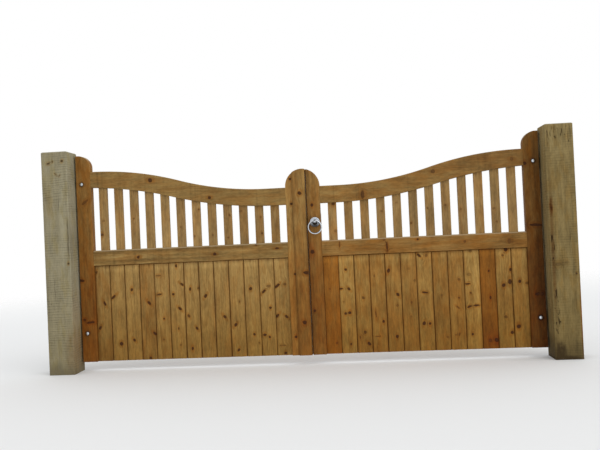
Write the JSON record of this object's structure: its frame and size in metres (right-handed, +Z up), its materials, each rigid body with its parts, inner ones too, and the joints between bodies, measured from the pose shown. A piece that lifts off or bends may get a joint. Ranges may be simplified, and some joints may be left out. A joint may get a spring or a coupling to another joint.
{
  "type": "pair of timber driveway gates",
  "caption": "Swan-neck timber driveway gates, boarded below and picketed above, hung between square posts with hook-and-band hinges and a ring latch.",
  "frame": {"origin": "centre of the left post's foot, on the ground", "axes": "+X across the opening to the right post, +Y into the drive, the side that the leaves open to, +Z up; the road is on -Y"},
  "size_m": [2.976, 0.1782, 1.28],
  "materials": {
    "sawn_post": "rough sawn, weathered grey-green",
    "stained_pine": "honey-brown stain, knotty pine",
    "pale_picket_pine": "paler honey stain",
    "galvanised_steel": "hot-dip galvanised, dull",
    "bright_zinc": "bright zinc plate"
  },
  "bodies": {
    "posts": {"left_post": "sawn_post", "right_post": "sawn_post", "left_upper_hook": "galvanised_steel", "left_lower_hook": "galvanised_steel", "right_upper_hook": "galvanised_steel", "right_lower_hook": "galvanised_steel"},
    "left_leaf": {"left_hanging_stile": "stained_pine", "left_meeting_stile": "stained_pine", "left_top_rail": "stained_pine", "left_pickets": "pale_picket_pine", "left_mid_rail": "stained_pine", "left_boarding": "stained_pine", "left_bottom_rail": "stained_pine", "left_brace": "stained_pine", "left_upper_band": "galvanised_steel", "left_lower_band": "galvanised_steel", "left_upper_bolts": "bright_zinc", "left_lower_bolts": "bright_zinc", "cover_strip": "stained_pine", "latch_catch": "galvanised_steel"},
    "right_leaf": {"right_hanging_stile": "stained_pine", "right_meeting_stile": "stained_pine", "right_top_rail": "stained_pine", "right_pickets": "pale_picket_pine", "right_mid_rail": "stained_pine", "right_boarding": "stained_pine", "right_bottom_rail": "stained_pine", "right_brace": "stained_pine", "right_upper_band": "galvanised_steel", "right_lower_band": "galvanised_steel", "right_upper_bolts": "bright_zinc", "right_lower_bolts": "bright_zinc", "ring_rose": "bright_zinc", "latch_plate": "galvanised_steel"},
    "ring": {"ring_handle": "bright_zinc", "ring_spindle": "bright_zinc"},
    "bar": {"latch_bar": "galvanised_steel"}
  },
  "joints": [
    {"name": "left_leaf_hinge", "type": "hinge", "parent": "posts", "child": "left_leaf", "pos_m": [0.091, 0.08908, 0.219], "axis": [0, 0, 1], "range_deg": [0, 95]},
    {"name": "right_leaf_hinge", "type": "hinge", "parent": "posts", "child": "right_leaf", "pos_m": [2.735, 0.08908, 0.219], "axis": [0, 0, -1], "range_deg": [0, 95]},
    {"name": "ring_turn", "type": "hinge", "parent": "right_leaf", "child": "ring", "pos_m": [1.477, 0, 0.808], "axis": [0, 1, 0], "range_deg": [0, 40]},
    {"name": "latch_lift", "type": "hinge", "parent": "right_leaf", "child": "bar", "pos_m": [1.499, 0.082, 0.829], "axis": [0, 1, 0], "range_deg": [0, 20]}
  ],
  "couplings": [
    {"joint": "latch_lift", "follows": "ring_turn", "ratio": 0.5}
  ]
}
